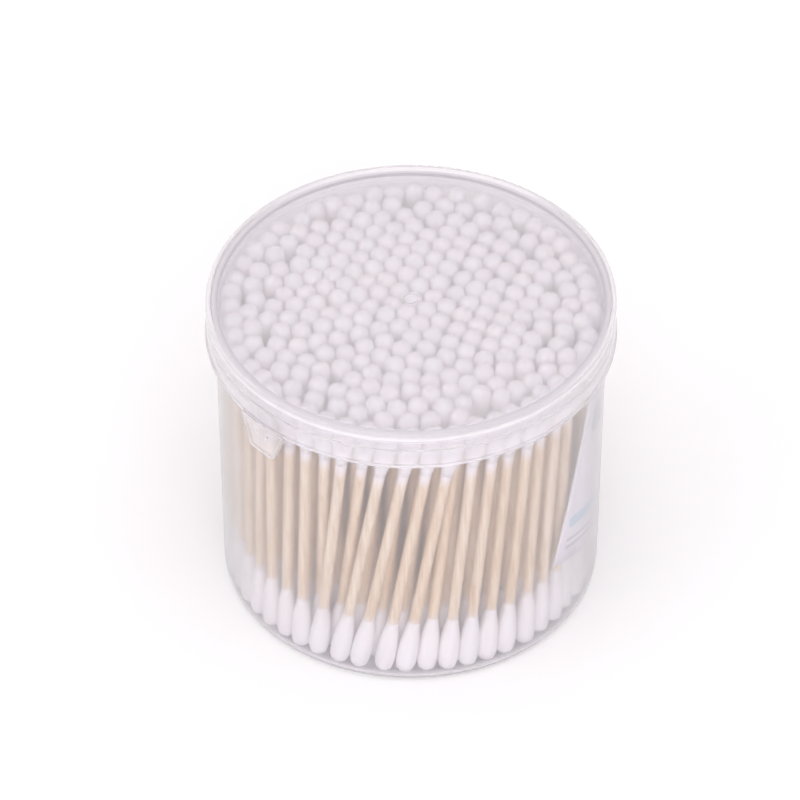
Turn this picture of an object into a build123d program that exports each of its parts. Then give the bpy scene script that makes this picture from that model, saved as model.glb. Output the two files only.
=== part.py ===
from build123d import *
import math
import os
import numpy as np

# A round frosted tub packed with double-ended cotton swabs, closed by a snap-on lid.
# Millimetres, +Z up. The origin is on the tub's axis, in the plane that the foot stands on.

os.makedirs("parts", exist_ok=True)

# Swab
swab_length = 75.0
swab_length_spread = 0.4  # a swab is longer or shorter than that by up to this much
stick_radius = 1.2
tip_radius = 2.3  # the widest part of the wound cotton
tip_length = 15.5
tip_belly = 5.5  # height of the widest part's upper end above the rounded end
neck_skin = 0.15  # thickness of the cotton where it ends on the stick
tip_pad = 2.5  # cotton beyond the stick's end
tip_bore_clearance = 0.04

# Tub
foot_radius = 43.3
wall_flare = 1.0  # how much wider the outside is at the rim
tub_wall = 0.8
tub_floor = 0.9
foot_recess = 0.6
foot_ring_width = 2.5
foot_corner = 2.5
lip_reach = 0.75
lip_height = 2.6
lip_edge = 0.25
headroom = 0.6  # between the longest swab and the lid
gate_radius = 1.6  # the mark that moulding leaves on the middle of the floor and of the lid
gate_height = 0.3

# Lid
lid_wall = 0.7
ring_width = 1.0
ring_height = 0.8  # of the ring that stands round the panel
lid_edge = 0.5
ring_slope = 0.3
skirt_height = 9.5
skirt_gap = 0.45  # between the skirt and the tub's lip
snap_gap = 0.1  # between the skirt's snap ridge and the tub's lip
snap_height = 1.6
snap_drop = 0.5  # from the lip's lower edge down to the snap ridge
bead_reach = 0.3
bead_height = 0.7

# Pull tab under the skirt
tab_angle = -135.6
tab_height = 7.9
tab_top_width = 13.5
tab_low_width = 7.4
tab_corner = 1.4
tab_thickness = 0.8
tab_rim_width = 0.8
tab_rim_height = 0.3
arrow_height = 3.2
arrow_width = 3.6
arrow_line = 0.6

# Paper card, bent to the tub's wall and standing askew behind it
card_width = 50.0
card_thickness = 0.3
card_tilt = 17.0  # its top leans to the right, as seen from outside
card_angle = 1.7  # its middle's place round the tub
card_foot_gap = 6.0
card_head_gap = 2.7
card_wall_gap = 0.1

# How the swabs stand
packing_clearance = 0.06
rest_gap = 0.02
wall_rings = 2  # rings of swabs that follow the wall, round the straight rows
row_turn = 11.5
start_spread = 1.03  # before they settle, their spacing as a share of the closest one
start_disorder = 0.05  # of the spacing
# for each lean: the sideways shift between the ends of the swabs that lean most, where those stand
# round the tub, and how far the lean reaches
leans = ((11.0, -98.0, 12.5), (4.5, -68.0, 32.0))
lean_spread = 0.8
packing_seed = 11

# How the places are worked out
mixing_steps = 700  # shaken, and upright
settling_steps = 1500
shake = 0.05  # at first; it dies away over shake_time, a share of the steps
shake_time = 0.6
push_share = 0.35  # of what two swabs lack, made up in one step
pairs_age = 20  # steps before the close pairs are looked for again
pairs_reach = 3.2  # tip radii
swirl_steps = 12

# Heights and radii that follow
floor_top = foot_recess + tub_floor
rim_radius = foot_radius + wall_flare  # outside, under the lip
tub_height = floor_top + swab_length + swab_length_spread + headroom
panel_top = tub_height + lid_wall
lid_top = panel_top + ring_height
lip_radius = rim_radius + lip_reach
skirt_inner = lip_radius + skirt_gap
skirt_outer = skirt_inner + lid_wall
skirt_bottom = lid_top - skirt_height
neck_radius = stick_radius + neck_skin
card_low = floor_top + card_foot_gap
card_high = tub_height - card_head_gap
card_lean = math.radians(card_tilt)
card_height = (card_high - card_low - card_width * math.sin(card_lean)) / math.cos(card_lean)
card_spread = card_width * math.cos(card_lean) + card_height * math.sin(card_lean)
tab_outer = skirt_outer + bead_reach
tab_inner = tab_outer - tab_thickness


def wall_radius(height):
    # inside of the tub's wall, which widens upwards
    share = height / tub_height
    return foot_radius + (rim_radius - foot_radius) * share - tub_wall


# ---- the swabs' places -------------------------------------------------------------------


def swab_radius(along):
    # how thick a swab is, this far from its lower end
    from_end = min(along, swab_length - along)
    if from_end <= tip_belly:
        return tip_radius
    if from_end <= tip_length:
        share = (from_end - tip_belly) / (tip_length - tip_belly)
        return tip_radius + (neck_radius - tip_radius) * share
    return stick_radius


def section_heights():
    # distances along a swab at which neighbours are kept apart
    belly = list(np.linspace(0.8 * tip_radius, tip_belly, 3))
    taper = list(np.linspace(tip_belly, tip_length, 5)[1:])
    shank = list(np.linspace(tip_length, swab_length / 2, 4)[1:])
    lower = belly + taper + shank
    return sorted(set(lower + [swab_length - along for along in lower]))


def card_zone_room(points):
    # what the card takes from the room inside the wall, at each point
    half_width = card_spread / 2 + tip_radius
    half_angle = half_width / wall_radius(0)
    turn = np.arctan2(points[:, 1], points[:, 0]) - math.radians(card_angle)
    turn = (turn + math.pi) % (2 * math.pi) - math.pi
    return np.where(np.abs(turn) < half_angle, card_wall_gap + card_thickness, 0.0)


def start_points(random):
    # rings of swabs that follow the wall, and straight rows inside them, slightly disordered
    pitch = start_spread * (2 * tip_radius + packing_clearance)
    ring = wall_radius(0) - tip_radius - packing_clearance
    points = []
    for _ in range(wall_rings):
        in_ring = int(2 * math.pi * ring / pitch)
        turn = random.uniform(0, 2 * math.pi)
        for place in range(in_ring):
            angle = turn + 2 * math.pi * place / in_ring
            points.append((ring * math.cos(angle), ring * math.sin(angle)))
        ring -= 0.9 * pitch
    rows_edge = ring + 0.3 * pitch
    cosine, sine = math.cos(math.radians(row_turn)), math.sin(math.radians(row_turn))
    offset = random.uniform(-1, 1, 2)
    reach = int(1.4 * wall_radius(0) / pitch)
    for place in range(-reach, reach + 1):
        for row in range(-reach, reach + 1):
            x = (place + row / 2) * pitch + offset[0]
            y = row * pitch * math.sqrt(0.75) + offset[1]
            if math.hypot(x, y) < rows_edge:
                points.append((cosine * x - sine * y, sine * x + cosine * y))
    return np.array(points) + random.normal(0, start_disorder * pitch, (len(points), 2))


def lean_over(points):
    # moves the swabs' upper ends along the wall near each lean's angle, and the ones behind them back,
    # as a slow swirl that leaves every swab the same room
    radius = wall_radius(0)
    moved = points.copy()
    for shift, angle, reach in leans:
        centre = radius * np.array([math.cos(math.radians(angle)), math.sin(math.radians(angle))])
        for _ in range(swirl_steps):
            away = moved - centre
            near = np.exp(-np.sum(away**2, axis=1) / (2 * reach**2))[:, None]
            inside = 1 - np.sum(moved**2, axis=1)[:, None] / radius**2
            slope = -near * (2 * moved / radius**2 + inside * away / reach**2)
            flow = np.stack([slope[:, 1], -slope[:, 0]], axis=1)
            moved = moved + flow * shift * radius / 2 / swirl_steps
    return moved


def close_pairs(low, high):
    # pairs of swabs that come near each other anywhere along their length
    nearest = np.inf
    for share in (0.0, 0.25, 0.5, 0.75, 1.0):
        at = low + share * (high - low)
        nearest = np.minimum(nearest, np.linalg.norm(at[:, None] - at[None], axis=2))
    return np.nonzero(np.triu(nearest < pairs_reach * tip_radius, 1))


def settle(low, high, steps, random=None):
    # pushes swabs apart, and in from the wall, until none touches another
    count = len(low)
    for step in range(steps):
        if step % pairs_age == 0:
            first, second = close_pairs(low, high)
        lean = (high - low) / swab_length
        pair_lean = (lean[first] + lean[second]) / 2
        low_push = np.zeros_like(low)
        high_push = np.zeros_like(high)
        for along in section_heights():
            share = along / swab_length
            weight = share**2 + (1 - share) ** 2
            radius = swab_radius(along)
            at = low + share * (high - low)
            apart = at[first] - at[second]
            distance = np.linalg.norm(apart, axis=1)
            way = apart / distance[:, None]
            across = np.sum(way * pair_lean, axis=1) ** 2 / (1 + np.sum(pair_lean**2, axis=1))
            short = np.maximum(0, (2 * radius + packing_clearance) / np.sqrt(1 - across) - distance)
            move = way * (0.5 * short / weight)[:, None]
            push = np.zeros_like(low)
            for axis in (0, 1):
                push[:, axis] += np.bincount(first, move[:, axis], count)
                push[:, axis] -= np.bincount(second, move[:, axis], count)
            out = np.linalg.norm(at, axis=1)
            room = wall_radius(floor_top + along) - card_zone_room(at) - radius - packing_clearance
            push -= at * (np.maximum(0, out - room) / out / weight)[:, None]
            low_push += push * (1 - share)
            high_push += push * share
        low = low + push_share * low_push
        high = high + push_share * high_push
        calmed = step / (shake_time * steps)
        if random and calmed < 1:
            jolt = random.normal(0, shake * (1 - calmed), low.shape)
            low = low + jolt
            high = high + jolt
    return low, high


def swab_places():
    # for each swab, the point under its lower end, its direction and its own length
    random = np.random.default_rng(packing_seed)
    start = start_points(random)
    low, high = settle(start, start, mixing_steps, random)
    high = lean_over(high) + random.normal(0, lean_spread, high.shape)
    low, high = settle(low, high, settling_steps)
    lengths = swab_length + random.uniform(-swab_length_spread, swab_length_spread, len(low))
    places = []
    for foot, head, length in zip(low, high, lengths):
        direction = Vector(head[0] - foot[0], head[1] - foot[1], swab_length).normalized()
        share = tip_radius / swab_length
        ball = foot + share * (head - foot)  # centre of the lower rounded end
        centre = Vector(ball[0], ball[1], floor_top + rest_gap + tip_radius)
        places.append((centre - direction * tip_radius, direction, length))
    return places


# ---- tub ---------------------------------------------------------------------------------

foot_ring_inner = foot_radius - foot_corner - foot_ring_width
lip_bottom = tub_height - lip_height

with BuildPart() as tub:
    with BuildSketch(Plane.XZ) as tub_section:
        with BuildLine():
            Polyline(
                (0, foot_recess - gate_height),
                (gate_radius, foot_recess - gate_height),
                (gate_radius, foot_recess),
                (foot_ring_inner, foot_recess),
                (foot_ring_inner + foot_recess, 0),
                (foot_radius, 0),
                (wall_radius(lip_bottom) + tub_wall, lip_bottom),
                (lip_radius, lip_bottom + lip_reach),
                (lip_radius, tub_height),
                (wall_radius(tub_height), tub_height),
                (wall_radius(floor_top), floor_top),
                (0, floor_top),
                close=True,
            )
        make_face()
        corners = tub_section.vertices()
        fillet(corners.sort_by_distance((foot_radius, 0))[0], foot_corner)
        fillet(corners.sort_by_distance((wall_radius(floor_top), floor_top))[0], foot_corner - tub_wall)
        fillet(corners.sort_by_distance((lip_radius, tub_height))[0], lip_edge)
        fillet(corners.sort_by_distance((wall_radius(tub_height), tub_height))[0], lip_edge)
    revolve(axis=Axis.Z)
tub.part.label = "tub"
export_step(tub.part, "parts/tub.step")


# ---- lid ---------------------------------------------------------------------------------

ring_inner = skirt_outer - ring_width
ridge_radius = lip_radius + snap_gap
ridge_top = lip_bottom - snap_drop


def on_skirt(sketch, inner, outer):
    # a flat outline stood up beside the skirt and bent to its curve, between two radii
    with BuildPart() as piece:
        extrude(sketch, amount=outer)
        with BuildSketch():
            Circle(outer)
            Circle(inner, mode=Mode.SUBTRACT)
        extrude(amount=lid_top, mode=Mode.INTERSECT)
    return piece.part


outwards = Vector(1, 0, 0).rotate(Axis.Z, tab_angle)
tab_plane = Plane(origin=(0, 0, skirt_bottom), x_dir=outwards.rotate(Axis.Z, 90), z_dir=outwards)
tab_root = bead_height / 2  # how far the tab reaches up into the skirt's bead

with BuildSketch(tab_plane) as tab_outline:
    with BuildLine():
        Polyline(
            (-tab_top_width / 2, tab_root),
            (-tab_low_width / 2, -tab_height),
            (tab_low_width / 2, -tab_height),
            (tab_top_width / 2, tab_root),
            close=True,
        )
    make_face()
    fillet(tab_outline.vertices().group_by(Axis.Y)[0], tab_corner)

with BuildSketch(tab_plane) as tab_frame:
    add(tab_outline.sketch_local)
    offset(tab_outline.sketch_local, amount=-tab_rim_width, mode=Mode.SUBTRACT)

with BuildSketch(tab_plane) as tab_arrow:
    with BuildLine():
        Polyline(
            (-arrow_width / 2, -tab_height / 2 + arrow_height / 2),
            (0, -tab_height / 2 - arrow_height / 2),
            (arrow_width / 2, -tab_height / 2 + arrow_height / 2),
        )
    trace(line_width=arrow_line)

with BuildPart() as lid:
    with BuildSketch(Plane.XZ) as lid_section:
        with BuildLine():
            Polyline(
                (0, tub_height),
                (skirt_inner, tub_height),
                (skirt_inner, ridge_top),
                (ridge_radius, ridge_top - snap_height / 2),
                (skirt_inner, ridge_top - snap_height),
                (skirt_inner, skirt_bottom),
                (skirt_outer + bead_reach, skirt_bottom),
                (skirt_outer + bead_reach, skirt_bottom + bead_height),
                (skirt_outer, skirt_bottom + bead_height + bead_reach / 2),
                (skirt_outer, lid_top),
                (ring_inner, lid_top),
                (ring_inner - ring_slope, panel_top),
                (gate_radius, panel_top),
                (gate_radius, panel_top + gate_height),
                (0, panel_top + gate_height),
                close=True,
            )
        make_face()
        corners = lid_section.vertices()
        fillet(corners.sort_by_distance((skirt_outer, lid_top))[0], lid_edge)
        fillet(corners.sort_by_distance((ring_inner, lid_top))[0], lid_edge / 2)
    revolve(axis=Axis.Z)
    add(on_skirt(tab_outline.sketch, tab_inner, tab_outer))
    add(on_skirt(tab_frame.sketch, tab_inner, tab_outer + tab_rim_height))
    add(on_skirt(tab_arrow.sketch, tab_inner, tab_outer + tab_rim_height))
lid.part.label = "lid"
export_step(lid.part, "parts/lid.step")


# ---- label card --------------------------------------------------------------------------

card_radius = wall_radius((card_low + card_high) / 2)
facing = Vector(1, 0, 0).rotate(Axis.Z, card_angle)
card_plane = Plane(origin=(0, 0, (card_low + card_high) / 2), x_dir=facing.rotate(Axis.Z, 90), z_dir=facing)


def card_point(across, up):
    # a point of the flat card, tilted, bent to the wall and seen square on from outside
    round_wall = across * math.cos(card_lean) + up * math.sin(card_lean)
    height = up * math.cos(card_lean) - across * math.sin(card_lean)
    return (card_radius * math.sin(round_wall / card_radius), height)


def card_edge(start, end, points=5):
    steps = [step / (points - 1) for step in range(points)]
    return [card_point(*(a + (b - a) * step for a, b in zip(start, end))) for step in steps]


with BuildPart() as label_card:
    with BuildSketch(Plane.XZ):
        with BuildLine():
            Polyline(
                (wall_radius(card_low) - card_wall_gap, card_low),
                (wall_radius(card_high) - card_wall_gap, card_high),
                (wall_radius(card_high) - card_wall_gap - card_thickness, card_high),
                (wall_radius(card_low) - card_wall_gap - card_thickness, card_low),
                close=True,
            )
        make_face()
    revolve(axis=Axis.Z)
    with BuildSketch(card_plane):
        with BuildLine():
            right, top = card_width / 2, card_height / 2
            Spline(card_edge((-right, -top), (right, -top)))
            Spline(card_edge((right, -top), (right, top)))
            Spline(card_edge((right, top), (-right, top)))
            Spline(card_edge((-right, top), (-right, -top)))
        make_face()
    extrude(amount=rim_radius, mode=Mode.INTERSECT)
label_card.part.label = "label_card"
export_step(label_card.part, "parts/label_card.step")


# ---- swabs -------------------------------------------------------------------------------

with BuildPart() as cotton_tip:  # one wound end, its rounded end at the origin
    with BuildSketch(Plane.XZ):
        with BuildLine():
            RadiusArc((0, 0), (tip_radius, tip_radius), -tip_radius)
            Polyline(
                (tip_radius, tip_radius),
                (tip_radius, tip_belly),
                (neck_radius, tip_length),
                (stick_radius + tip_bore_clearance, tip_length),
                (stick_radius + tip_bore_clearance, tip_pad),
                (0, tip_pad),
                (0, 0),
            )
        make_face()
    revolve(axis=Axis.Z)

low_ends = []
high_ends = []
sticks = []
for point, direction, length in swab_places():
    low_ends.append(Plane(origin=point, z_dir=direction))
    high_ends.append(Plane(origin=point + direction * length, z_dir=-direction))
    stick_start = Plane(origin=point + direction * tip_pad, z_dir=direction)
    sticks.append((stick_start, length - 2 * tip_pad))

with BuildPart() as lower_cotton_tips:
    with Locations(*low_ends):
        add(cotton_tip.part)
lower_cotton_tips.part.label = "lower_cotton_tips"
export_step(lower_cotton_tips.part, "parts/lower_cotton_tips.step")

with BuildPart() as upper_cotton_tips:
    with Locations(*high_ends):
        add(cotton_tip.part)
upper_cotton_tips.part.label = "upper_cotton_tips"
export_step(upper_cotton_tips.part, "parts/upper_cotton_tips.step")

with BuildPart() as swab_sticks:
    for stick_start, length in sticks:
        with Locations(stick_start):
            Cylinder(stick_radius, length, align=(Align.CENTER, Align.CENTER, Align.MIN))
swab_sticks.part.label = "swab_sticks"
export_step(swab_sticks.part, "parts/swab_sticks.step")

print(len(sticks), "swabs")
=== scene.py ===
import bpy
import bmesh
import math
import random
import numpy as np
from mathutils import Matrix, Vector


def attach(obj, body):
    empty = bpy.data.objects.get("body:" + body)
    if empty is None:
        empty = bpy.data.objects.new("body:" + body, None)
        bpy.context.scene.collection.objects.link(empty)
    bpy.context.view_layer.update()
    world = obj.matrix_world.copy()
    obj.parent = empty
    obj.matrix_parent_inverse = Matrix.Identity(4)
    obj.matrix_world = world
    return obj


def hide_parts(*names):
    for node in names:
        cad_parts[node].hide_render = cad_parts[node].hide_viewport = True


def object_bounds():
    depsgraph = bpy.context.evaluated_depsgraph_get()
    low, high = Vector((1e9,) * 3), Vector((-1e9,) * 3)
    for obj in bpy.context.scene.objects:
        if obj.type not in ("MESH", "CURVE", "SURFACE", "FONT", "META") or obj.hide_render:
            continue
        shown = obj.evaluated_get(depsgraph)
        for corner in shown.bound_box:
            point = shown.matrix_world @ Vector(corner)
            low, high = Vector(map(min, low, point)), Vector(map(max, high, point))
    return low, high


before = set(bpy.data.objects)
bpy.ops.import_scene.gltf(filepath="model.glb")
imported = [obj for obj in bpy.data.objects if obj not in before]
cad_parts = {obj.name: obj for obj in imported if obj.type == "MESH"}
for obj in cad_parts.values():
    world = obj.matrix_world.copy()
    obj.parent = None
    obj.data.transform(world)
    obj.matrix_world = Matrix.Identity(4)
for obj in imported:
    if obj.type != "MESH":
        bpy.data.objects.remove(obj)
cadLow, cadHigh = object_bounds()
print("frame loaded:", sorted(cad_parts))


def mm(value):
    return value / 1000


def linearColour(code):  # "#rrggbb" in sRGB to linear light
    parts = [int(code[i:i + 2], 16) / 255 for i in (1, 3, 5)]
    return [p / 12.92 if p <= 0.04045 else ((p + 0.055) / 1.055) ** 2.4 for p in parts] + [1.0]


def addNode(tree, kind, settings=None, links=None):
    # one node with its settings, which are properties or socket values, and what feeds its sockets
    node = tree.nodes.new(kind)
    for name, value in (settings or {}).items():
        if isinstance(name, str) and hasattr(node, name):
            setattr(node, name, value)
        else:
            node.inputs[name].default_value = value
    for name, source in (links or {}).items():
        tree.links.new(source, node.inputs[name])
    return node


def newMaterial(name):
    material = bpy.data.materials.new(name)
    material.use_nodes = True
    material.node_tree.nodes.clear()
    return material


def meshObject(name, vertices, faces):
    mesh = bpy.data.meshes.new(name)
    mesh.from_pydata([tuple(v) for v in vertices], [], faces)
    thing = bpy.data.objects.new(name, mesh)
    bpy.context.scene.collection.objects.link(thing)
    return thing


# Where the swabs stand, read from the CAD sticks

def loosePieces(nodeName):
    # the corners of each separate solid of a CAD node
    merged = bmesh.new()
    merged.from_mesh(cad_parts[nodeName].data)
    bmesh.ops.remove_doubles(merged, verts=merged.verts, dist=mm(0.001))
    pieces, seen = [], set()
    for first in merged.verts:
        if first in seen:
            continue
        seen.add(first)
        island, edge = [], [first]
        while edge:
            corner = edge.pop()
            island.append(tuple(corner.co))
            for link in corner.link_edges:
                other = link.other_vert(corner)
                if other not in seen:
                    seen.add(other)
                    edge.append(other)
        pieces.append(np.array(island))
    merged.free()
    return pieces


def stickEnds(corners):
    # middle of a stick's lower and upper end
    upper = corners[:, 2] > corners[:, 2].mean()
    return Vector(corners[~upper].mean(axis=0)), Vector(corners[upper].mean(axis=0))


sticks = sorted((stickEnds(piece) for piece in loosePieces("swab_sticks")), key=lambda ends: tuple(ends[0]))
print(len(sticks), "swabs found")


# Swab parts, stood in place by one Geometry Nodes tree

# Sizes are in mm, stretches and shares have no unit
tip = {"radius": 2.45, "length": 15.6, "beyondStick": 2.5, "neckRadius": 1.33,
       # share of the radius, at a share of the length above the rounded end
       "profile": ((0.5, 0.02), (0.86, 0.075), (0.99, 0.17), (1.0, 0.34), (0.95, 0.54), (0.8, 0.74),
                   (0.62, 0.9)),
       "roundSides": 10, "lumpSize": 2.4, "lumpDepth": 0.16, "smallest": 0.95, "lowerStretch": 0.98,
       "upperStretch": 0.85, "stretchSpread": 0.04, "seed": 5,
       "rosy": "#f6f0f2", "cool": "#f1f0f2", "bright": "#f9f7f8"}
stick = {"radius": 1.28, "roundSides": 10, "lumpSize": 9.0, "lumpDepth": 0.05, "seed": 8,
         "palest": "#f7ead6", "darkest": "#efdcc0", "streak": "#cda676",
         # where the wound cotton ends and over how much it thins out, in shares of the stick
         "cottonEnd": 0.178, "thinning": 0.03, "film": "#f8f4f6"}
fullTurn = 6.28
restingNoise = 0.62  # noise value at which a lumpy surface stays where it is


def lathe(name, outline, sides):
    # a closed turned shape about Z, from (radius, height) pairs that start and end on the axis
    vertices, faces, rings = [], [], []
    for radius, height in outline:
        if radius == 0:
            rings.append([len(vertices)] * sides)
            vertices.append((0, 0, height))
            continue
        rings.append(list(range(len(vertices), len(vertices) + sides)))
        for side in range(sides):
            angle = 2 * math.pi * side / sides
            vertices.append((radius * math.cos(angle), radius * math.sin(angle), height))
    for lower, upper in zip(rings, rings[1:]):
        for side in range(sides):
            following = (side + 1) % sides
            corners = [lower[side], lower[following], upper[following], upper[side]]
            faces.append([c for i, c in enumerate(corners) if c not in corners[:i]])
    return meshObject(name, vertices, faces)


def tipShape():
    # pear shape: a rounded end, a belly at a third of its length, and a shoulder that closes on the stick
    radius, length = mm(tip["radius"]), mm(tip["length"])
    outline = [(0, 0)]
    for share, height in tip["profile"]:
        outline.append((share * radius, height * length))
    outline += [(mm(tip["neckRadius"]), length), (0, length)]
    return lathe("tipShape", outline, tip["roundSides"])


def stickShape():
    # a shank one unit long, which remembers how far along it each point lies
    radius = mm(stick["radius"])
    shape = lathe("stickShape", [(0, 0)] + [(radius, step / 4) for step in range(5)] + [(0, 1)],
                  stick["roundSides"])
    along = shape.data.attributes.new("along", "FLOAT", "POINT")
    along.data.foreach_set("value", [v.co.z for v in shape.data.vertices])
    return shape


def standingPoints(name, places):
    # a point for each part, with its direction, length and chance numbers
    points = meshObject(name, [place[0] for place in places], [])
    mesh = points.data
    axis = mesh.attributes.new("axis", "FLOAT_VECTOR", "POINT")
    axis.data.foreach_set("vector", [v for place in places for v in place[1]])
    for label, index in (("stretch", 2), ("tone", 3), ("spin", 4), ("girth", 5)):
        values = mesh.attributes.new(label, "FLOAT", "POINT")
        values.data.foreach_set("value", [place[index] for place in places])
    return points


def standingTree():
    tree = bpy.data.node_groups.new("standParts", "GeometryNodeTree")
    face = tree.interface
    face.new_socket("Geometry", in_out="OUTPUT", socket_type="NodeSocketGeometry")
    for label, kind in (("Points", "Geometry"), ("Shape", "Object"), ("Lump Size", "Float"),
                        ("Lump Depth", "Float"), ("Seed", "Float"), ("Material", "Material")):
        face.new_socket(label, in_out="INPUT", socket_type="NodeSocket" + kind)
    given = addNode(tree, "NodeGroupInput").outputs
    shape = addNode(tree, "GeometryNodeObjectInfo", links={"Object": given["Shape"]})
    axis = addNode(tree, "GeometryNodeInputNamedAttribute", {"data_type": "FLOAT_VECTOR", "Name": "axis"})
    stretch = addNode(tree, "GeometryNodeInputNamedAttribute", {"data_type": "FLOAT", "Name": "stretch"})
    spin = addNode(tree, "GeometryNodeInputNamedAttribute", {"data_type": "FLOAT", "Name": "spin"})
    turned = addNode(tree, "ShaderNodeCombineXYZ", links={"Z": spin.outputs[0]})
    upright = addNode(tree, "FunctionNodeAlignRotationToVector", {"axis": "Z"},
                      {"Rotation": turned.outputs[0], "Vector": axis.outputs[0]})
    girth = addNode(tree, "GeometryNodeInputNamedAttribute", {"data_type": "FLOAT", "Name": "girth"})
    scale = addNode(tree, "ShaderNodeCombineXYZ", links={"X": girth.outputs[0], "Y": girth.outputs[0],
                                                         "Z": stretch.outputs[0]})
    stood = addNode(tree, "GeometryNodeInstanceOnPoints", links={
        "Points": given["Points"], "Instance": shape.outputs["Geometry"],
        "Rotation": upright.outputs[0], "Scale": scale.outputs[0]})
    real = addNode(tree, "GeometryNodeRealizeInstances", links={"Geometry": stood.outputs[0]})
    lumpScale = addNode(tree, "ShaderNodeMath", {"operation": "DIVIDE", 0: 1.0}, {1: given["Lump Size"]})
    lumps = addNode(tree, "ShaderNodeTexNoise", {"noise_dimensions": "4D", "Detail": 1.0},
                    {"W": given["Seed"], "Scale": lumpScale.outputs[0]})
    centred = addNode(tree, "ShaderNodeMath", {"operation": "SUBTRACT", 1: restingNoise},
                      {0: lumps.outputs[0]})
    depth = addNode(tree, "ShaderNodeMath", {"operation": "MULTIPLY"},
                    {0: centred.outputs[0], 1: given["Lump Depth"]})
    normal = addNode(tree, "GeometryNodeInputNormal")
    offset = addNode(tree, "ShaderNodeVectorMath", {"operation": "SCALE"},
                     {0: normal.outputs[0], "Scale": depth.outputs[0]})
    moved = addNode(tree, "GeometryNodeSetPosition", links={"Geometry": real.outputs[0],
                                                            "Offset": offset.outputs[0]})
    smooth = addNode(tree, "GeometryNodeSetShadeSmooth", links={"Geometry": moved.outputs[0]})
    painted = addNode(tree, "GeometryNodeSetMaterial", links={"Geometry": smooth.outputs[0],
                                                              "Material": given["Material"]})
    addNode(tree, "NodeGroupOutput", links={"Geometry": painted.outputs[0]})
    return tree


standParts = standingTree()


def standInPlace(name, places, shape, sizes, material):
    # runs the tree on the points and keeps the result as a plain mesh
    points = standingPoints(name + "Points", places)
    modifier = points.modifiers.new("stand", "NODES")
    modifier.node_group = standParts
    values = {"Shape": shape, "Lump Size": mm(sizes["lumpSize"]), "Lump Depth": mm(sizes["lumpDepth"]),
              "Seed": float(sizes["seed"]), "Material": material}
    for socket in standParts.interface.items_tree:
        if socket.name in values:
            modifier[socket.identifier] = values[socket.name]
    bpy.context.view_layer.update()
    seen = points.evaluated_get(bpy.context.evaluated_depsgraph_get())
    mesh = bpy.data.meshes.new_from_object(seen)
    mesh.name = name
    result = bpy.data.objects.new(name, mesh)
    bpy.context.scene.collection.objects.link(result)
    bpy.data.objects.remove(points)
    return result


def fillWithSwabs():
    chance = random.Random(tip["seed"])
    pad = mm(tip["beyondStick"])
    lowTips, highTips, shanks = [], [], []
    for low, high in sticks:
        way = (high - low).normalized()
        length = (high - low).length
        for tips, end, inward, usual in ((lowTips, low, way, tip["lowerStretch"]),
                                         (highTips, high, -way, tip["upperStretch"])):
            stretch = usual + chance.uniform(-1, 1) * tip["stretchSpread"] / 2
            tips.append((end - inward * pad, inward, stretch, chance.random(),
                         chance.uniform(0, fullTurn), chance.uniform(tip["smallest"], 1)))
        shanks.append((low, way, length, chance.random(), chance.uniform(0, fullTurn), 1.0))
    tipMesh, stickMesh = tipShape(), stickShape()
    cotton, wood = woundCotton(), bambooStick()
    parts = [standInPlace("lowerTips", lowTips, tipMesh, tip, cotton),
             standInPlace("upperTips", highTips, tipMesh, tip, cotton),
             standInPlace("sticks", shanks, stickMesh, stick, wood)]
    nodes = ("lower_cotton_tips", "upper_cotton_tips", "swab_sticks")
    slots = ("wound_cotton", "wound_cotton", "bamboo_stick")
    for part, node, slot in zip(parts, nodes, slots):
        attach(part, "tub")
        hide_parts(node)
    bpy.data.objects.remove(tipMesh)
    bpy.data.objects.remove(stickMesh)
    print("swabs stood:", [len(part.data.polygons) for part in parts], "faces")


# Finishes

def woundCotton():
    # absorbent cotton wound on a stick: soft matt white, with fine fibres that blur the edge of the light
    material = newMaterial("absorbent cotton, wound")
    tree = material.node_tree
    where = addNode(tree, "ShaderNodeTexCoord").outputs["Object"]
    fibres = addNode(tree, "ShaderNodeTexNoise", {"Scale": 1 / mm(0.5), "Detail": 3.0, "Roughness": 0.6},
                     {"Vector": where})
    wads = addNode(tree, "ShaderNodeTexNoise", {"Scale": 1 / mm(2.5), "Detail": 1.0}, {"Vector": where})
    tone = addNode(tree, "ShaderNodeAttribute", {"attribute_name": "tone"})
    cast = addNode(tree, "ShaderNodeMix", {"data_type": "RGBA", 6: linearColour(tip["rosy"]),
                                           7: linearColour(tip["cool"])}, {0: tone.outputs["Fac"]})
    colour = addNode(tree, "ShaderNodeMix", {"data_type": "RGBA", 7: linearColour(tip["bright"])},
                     {0: wads.outputs[0], 6: cast.outputs[2]})
    bump = addNode(tree, "ShaderNodeBump", {"Strength": 0.35, "Distance": mm(0.15)},
                   {"Height": fibres.outputs[0]})
    shader = addNode(tree, "ShaderNodeBsdfPrincipled", {
        "Roughness": 0.95, "IOR": 1.46, "Specular IOR Level": 0.2,
        "Sheen Weight": 0.25, "Sheen Roughness": 0.5,
        "Subsurface Weight": 0.25, "Subsurface Radius": (1.0, 0.8, 0.7), "Subsurface Scale": mm(0.8)},
        {"Base Color": colour.outputs[2], "Normal": bump.outputs[0]})
    addNode(tree, "ShaderNodeOutputMaterial", links={"Surface": shader.outputs[0]})
    return material


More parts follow.
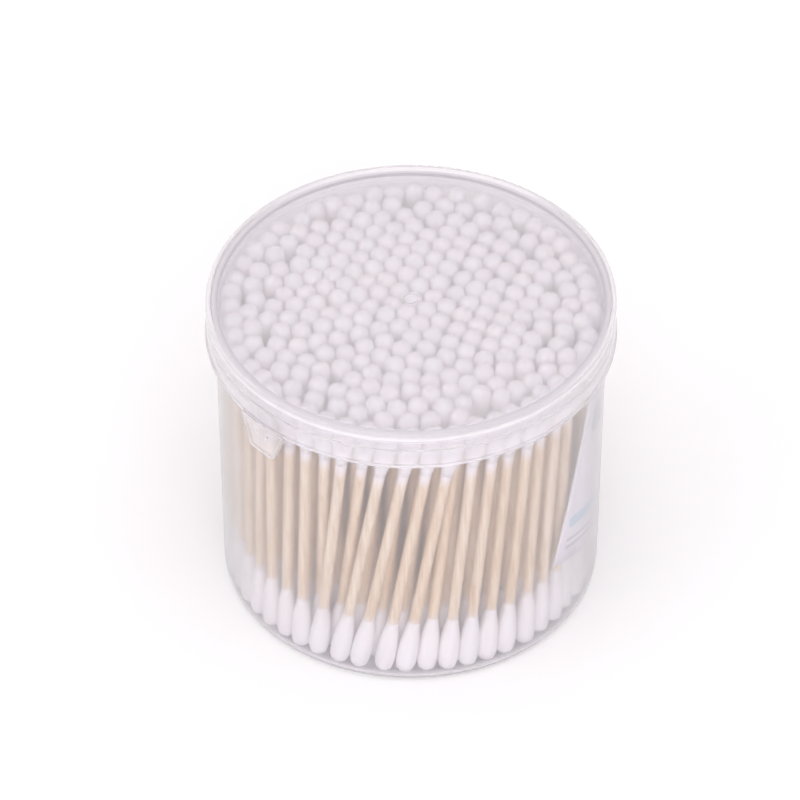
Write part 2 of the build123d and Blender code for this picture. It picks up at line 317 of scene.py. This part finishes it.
def bambooStick():
    # split bamboo turned to a stick: pale straw with long darker fibres, each stick its own shade, and a
    # thin white film where the wound cotton runs out on it
    material = newMaterial("bamboo, turned")
    tree = material.node_tree
    where = addNode(tree, "ShaderNodeTexCoord").outputs["Object"]
    tone = addNode(tree, "ShaderNodeAttribute", {"attribute_name": "tone"})
    along = addNode(tree, "ShaderNodeAttribute", {"attribute_name": "along"})
    stretched = addNode(tree, "ShaderNodeMapping", {"Scale": (1.0, 1.0, 0.04)}, {"Vector": where})
    grain = addNode(tree, "ShaderNodeTexNoise", {"Scale": 1 / mm(0.6), "Detail": 3.0, "Roughness": 0.65},
                    {"Vector": stretched.outputs[0]})
    shade = addNode(tree, "ShaderNodeMix", {"data_type": "RGBA", 6: linearColour(stick["darkest"]),
                                            7: linearColour(stick["palest"])}, {0: tone.outputs["Fac"]})
    streaks = addNode(tree, "ShaderNodeMapRange", {"From Min": 0.4, "From Max": 0.68, "To Max": 0.6},
                      {"Value": grain.outputs[0]})
    wood = addNode(tree, "ShaderNodeMix", {"data_type": "RGBA", 7: linearColour(stick["streak"])},
                   {0: streaks.outputs[0], 6: shade.outputs[2]})
    fromMiddle = addNode(tree, "ShaderNodeMath", {"operation": "SUBTRACT", 1: 0.5},
                         {0: along.outputs["Fac"]})
    outwards = addNode(tree, "ShaderNodeMath", {"operation": "ABSOLUTE"}, {0: fromMiddle.outputs[0]})
    wisps = addNode(tree, "ShaderNodeTexNoise", {"Scale": 1 / mm(0.9), "Detail": 2.0}, {"Vector": where})
    ragged = addNode(tree, "ShaderNodeMath", {"operation": "MULTIPLY_ADD", 1: stick["thinning"]},
                     {0: wisps.outputs[0], 2: outwards.outputs[0]})
    film = addNode(tree, "ShaderNodeMapRange", {
        "From Min": 0.5 - stick["cottonEnd"] - stick["thinning"] / 2,
        "From Max": 0.5 - stick["cottonEnd"] + stick["thinning"], "To Max": 0.9},
        {"Value": ragged.outputs[0]})
    colour = addNode(tree, "ShaderNodeMix", {"data_type": "RGBA", 7: linearColour(stick["film"])},
                     {0: film.outputs[0], 6: wood.outputs[2]})
    bump = addNode(tree, "ShaderNodeBump", {"Strength": 0.3, "Distance": mm(0.05)},
                   {"Height": grain.outputs[0]})
    shader = addNode(tree, "ShaderNodeBsdfPrincipled", {"Roughness": 0.6, "IOR": 1.5},
                     {"Base Color": colour.outputs[2], "Normal": bump.outputs[0]})
    addNode(tree, "ShaderNodeOutputMaterial", links={"Surface": shader.outputs[0]})
    return material


acrossAxis, upAxis = (1.0, 1.0, 0.0), (0.0, 0.0, 1.0)
frost = {"tint": "#fdfbfd", "shadowTint": "#f3f1f5"}
# How much light goes through where the plastic is thin and thick, and where it counts as thick: which
# way to measure, the height to measure from, and where it starts to be thick and fully is, in mm
plastics = {"tub": {"name": "polypropylene, frosted tub", "roughness": 0.15, "thin": 0.91, "thick": 0.62,
                    "thickParts": ((upAxis, 39.0, 35.0, 38.0),)},
            "lid": {"name": "polypropylene, frosted lid", "roughness": 0.15, "thin": 0.79, "thick": 0.54,
                    "thickParts": ((acrossAxis, 0.0, 43.2, 44.4), (upAxis, 0.0, 76.6, 77.4))}}


def frostedPlastic(name, roughness, thin, thick, thickParts):
    # natural polypropylene with a fine matt mould texture: it blurs what is behind it with distance, and
    # looks milkier where it is thick, which is where it lies past every one of the given distances, each
    # from the axis or from a middle height
    material = newMaterial(name)
    tree = material.node_tree
    where = addNode(tree, "ShaderNodeTexCoord").outputs["Object"]
    texture = addNode(tree, "ShaderNodeTexNoise", {"Scale": 1 / mm(0.6), "Detail": 2.0}, {"Vector": where})
    bump = addNode(tree, "ShaderNodeBump", {"Strength": 0.1, "Distance": mm(0.05)},
                   {"Height": texture.outputs[0]})
    milky = None
    for weights, middle, start, end in thickParts:
        kept = addNode(tree, "ShaderNodeVectorMath", {
            "operation": "MULTIPLY_ADD", 1: weights, 2: (0.0, 0.0, -mm(middle))}, {0: where})
        measured = addNode(tree, "ShaderNodeVectorMath", {"operation": "LENGTH"}, {0: kept.outputs[0]})
        past = addNode(tree, "ShaderNodeMapRange", {"From Min": mm(start), "From Max": mm(end)},
                       {"Value": measured.outputs["Value"]})
        milky = past if milky is None else addNode(tree, "ShaderNodeMath", {"operation": "MULTIPLY"},
                                                   {0: milky.outputs[0], 1: past.outputs[0]})
    clarity = addNode(tree, "ShaderNodeMapRange", {"To Min": thin, "To Max": thick},
                      {"Value": milky.outputs[0]})
    shader = addNode(tree, "ShaderNodeBsdfPrincipled", {
        "Base Color": linearColour(frost["tint"]), "Roughness": roughness, "IOR": 1.49},
        {"Normal": bump.outputs[0], "Transmission Weight": clarity.outputs[0]})
    lit = addNode(tree, "ShaderNodeBsdfTransparent", {"Color": linearColour(frost["shadowTint"])})
    ray = addNode(tree, "ShaderNodeLightPath")
    mixed = addNode(tree, "ShaderNodeMixShader", links={
        0: ray.outputs["Is Shadow Ray"], 1: shader.outputs[0], 2: lit.outputs[0]})
    addNode(tree, "ShaderNodeOutputMaterial", links={"Surface": mixed.outputs[0]})
    return material


card = {"paper": "#f1edf5", "softEdge": 0.15,
        # printed fields: ink, then left, right, low and high edge from the card's middle and the
        # corners' radius, in mm
        "print": (("#b9d6ea", -23.0, 2.0, -18.0, -15.0, 1.4), ("#bdb8c8", -22.5, 0.0, -21.8, -21.1, 0.2),
                  ("#bdb8c8", -22.5, -6.0, -23.8, -23.1, 0.2), ("#a9b6c6", -20.0, -12.0, 5.5, 12.5, 1.0))}


def printedCard():
    # coated paper card: smooth and bright, with flat pale fields of print
    material = newMaterial("coated paper card, printed")
    tree = material.node_tree
    place = addNode(tree, "ShaderNodeUVMap", {"uv_map": "cardPlace"})
    parts = addNode(tree, "ShaderNodeSeparateXYZ", links={0: place.outputs[0]})
    where = addNode(tree, "ShaderNodeTexCoord").outputs["Object"]
    fibres = addNode(tree, "ShaderNodeTexNoise", {"Scale": 1 / mm(0.8), "Detail": 2.0}, {"Vector": where})
    colour = None
    for ink, left, right, low, high, corner in card["print"]:
        beyond = []
        for axis, start, end in ((0, left, right), (1, low, high)):
            off = addNode(tree, "ShaderNodeMath", {"operation": "SUBTRACT", 1: mm((start + end) / 2)},
                          {0: parts.outputs[axis]})
            far = addNode(tree, "ShaderNodeMath", {"operation": "ABSOLUTE"}, {0: off.outputs[0]})
            past = addNode(tree, "ShaderNodeMath", {"operation": "SUBTRACT",
                                                    1: mm((end - start) / 2 - corner)},
                           {0: far.outputs[0]})
            beyond.append(addNode(tree, "ShaderNodeMath", {"operation": "MAXIMUM", 1: 0.0},
                                  {0: past.outputs[0]}))
        both = addNode(tree, "ShaderNodeCombineXYZ",
                       links={0: beyond[0].outputs[0], 1: beyond[1].outputs[0]})
        gap = addNode(tree, "ShaderNodeVectorMath", {"operation": "LENGTH"}, {0: both.outputs[0]})
        inside = addNode(tree, "ShaderNodeMapRange", {"From Min": mm(corner + card["softEdge"]),
                                                      "From Max": mm(corner - card["softEdge"])},
                         {"Value": gap.outputs["Value"]})
        under = {6: linearColour(card["paper"])} if colour is None else {}
        above = {0: inside.outputs[0]} if colour is None else {0: inside.outputs[0], 6: colour}
        colour = addNode(tree, "ShaderNodeMix", {"data_type": "RGBA", 7: linearColour(ink), **under},
                         above).outputs[2]
    bump = addNode(tree, "ShaderNodeBump", {"Strength": 0.15, "Distance": mm(0.03)},
                   {"Height": fibres.outputs[0]})
    shader = addNode(tree, "ShaderNodeBsdfPrincipled", {"Roughness": 0.55, "IOR": 1.5},
                     {"Base Color": colour, "Normal": bump.outputs[0]})
    addNode(tree, "ShaderNodeOutputMaterial", links={"Surface": shader.outputs[0]})
    return material


def standCard():
    # the CAD card with its corners merged, and a UV map in metres across and up the card from its middle
    merged = bmesh.new()
    merged.from_mesh(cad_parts["label_card"].data)
    bmesh.ops.remove_doubles(merged, verts=merged.verts, dist=mm(0.001))
    radius = max(math.hypot(v.co.x, v.co.y) for v in merged.verts)
    unrolled = {v: Vector((radius * math.atan2(v.co.y, v.co.x), v.co.z)) for v in merged.verts}
    leftCorner = min(unrolled.values(), key=lambda p: p.x)
    rightCorner = max(unrolled.values(), key=lambda p: p.x)
    lowCorner = min(unrolled.values(), key=lambda p: p.y)
    across = (lowCorner - leftCorner).normalized()
    upward = Vector((-across.y, across.x))
    middle = (leftCorner + rightCorner) / 2
    layer = merged.loops.layers.uv.new("cardPlace")
    for face in merged.faces:
        for loop in face.loops:
            place = unrolled[loop.vert] - middle
            loop[layer].uv = (place.dot(across), place.dot(upward))
    mesh = bpy.data.meshes.new("labelCard")
    merged.to_mesh(mesh)
    merged.free()
    mesh.materials.append(printedCard())
    piece = bpy.data.objects.new("labelCard", mesh)
    bpy.context.scene.collection.objects.link(piece)
    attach(piece, "tub")
    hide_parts("label_card")
    print("card:", [round(max(side) * 1000) for side in zip(*(l.uv for l in mesh.uv_layers[0].data))])


def finishShells():
    for node, plastic in plastics.items():
        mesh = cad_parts[node].data
        mesh.materials.clear()
        mesh.materials.append(frostedPlastic(**plastic))
    print("shells finished:", list(plastics))


# Studio

# The lights have a name, place, size and power, in mm and watts
studio = {"elevation": 42.23, "distance": 1400.0, "lens": 275.2, "aimRight": -2.5, "aimUp": 6.0,
          "sensor": 36.0, "farthest": 20000.0, "floorSize": 3000.0, "floor": "#fcfcfc",
          "surround": "#fdf9fb", "surroundStrength": 0.99,
          "lights": (("keyLight", (300, -600, 1400), 1100, 1.5),
                     ("frontLight", (150, -1300, 700), 1000, 5.2),
                     ("fillLight", (-900, -500, 700), 900, 1.5))}


def setStudio():
    middle = (Vector(cadLow) + Vector(cadHigh)) / 2
    rise = math.radians(studio["elevation"])
    back = Vector((0, -math.cos(rise), math.sin(rise)))
    upward = Vector((0, math.sin(rise), math.cos(rise)))
    aim = middle + Vector((mm(studio["aimRight"]), 0, 0)) + upward * mm(studio["aimUp"])
    eye = bpy.data.cameras.new("camera")
    eye.lens = studio["lens"]
    eye.sensor_width = studio["sensor"]
    eye.clip_end = mm(studio["farthest"])
    holder = bpy.data.objects.new("camera", eye)
    holder.location = aim + back * mm(studio["distance"])
    holder.rotation_euler = (math.pi / 2 - rise, 0, 0)
    bpy.context.scene.collection.objects.link(holder)
    bpy.context.scene.camera = holder

    half = mm(studio["floorSize"]) / 2
    floor = meshObject("floor", [(-half, -half, 0), (half, -half, 0), (half, half, 0), (-half, half, 0)],
                       [(0, 1, 2, 3)])
    paper = newMaterial("paper sweep, pale")
    shader = addNode(paper.node_tree, "ShaderNodeBsdfPrincipled",
                     {"Base Color": linearColour(studio["floor"]), "Roughness": 0.9})
    addNode(paper.node_tree, "ShaderNodeOutputMaterial", links={"Surface": shader.outputs[0]})
    floor.data.materials.append(paper)

    world = bpy.data.worlds.new("studio")
    world.use_nodes = True
    background = world.node_tree.nodes["Background"].inputs
    background["Color"].default_value = linearColour(studio["surround"])
    background["Strength"].default_value = studio["surroundStrength"]
    bpy.context.scene.world = world

    for name, place, size, power in studio["lights"]:
        lamp = bpy.data.lights.new(name, "AREA")
        lamp.size = mm(size)
        lamp.energy = power
        light = bpy.data.objects.new(name, lamp)
        light.visible_glossy = False  # so that the flat lid shows no glare from any side
        light.location = [mm(p) for p in place]
        light.rotation_euler = (middle - light.location).to_track_quat("-Z", "Y").to_euler()
        bpy.context.scene.collection.objects.link(light)
    scene = bpy.context.scene
    scene.view_settings.view_transform = "Standard"
    scene.cycles.diffuse_bounces = 8  # light goes on between the white tips
    scene.cycles.max_bounces = 16
    print("studio set:", len(studio["lights"]), "lights")


fillWithSwabs()
standCard()
finishShells()
setStudio()
